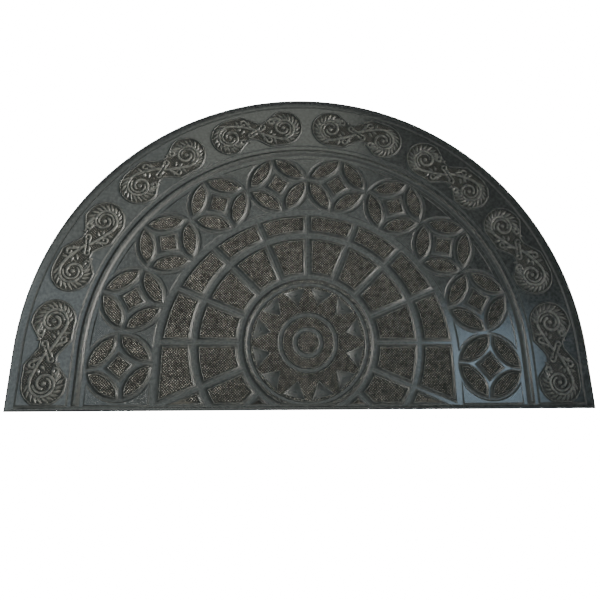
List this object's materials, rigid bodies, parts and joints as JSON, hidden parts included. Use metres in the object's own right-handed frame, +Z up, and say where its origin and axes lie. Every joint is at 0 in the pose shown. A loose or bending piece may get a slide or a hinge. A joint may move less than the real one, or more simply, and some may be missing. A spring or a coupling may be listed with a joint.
{
  "type": "doormat",
  "caption": "Half-round moulded rubber doormat with a raised pattern of medallion, rings, roundels and scroll border, lying flat",
  "frame": {"origin": "middle of the underside of the mat's bounding box, on the ground", "axes": "+X along the flat edge to the right, +Y from the flat edge towards the crown of the half circle, +Z up out of the patterned face"},
  "size_m": [0.75, 0.45, 0.007],
  "materials": {
    "rubber": "moulded, matt on the pins and half glossy in the channels"
  },
  "bodies": {
    "root": {"mat": "rubber"}
  },
  "joints": []
}
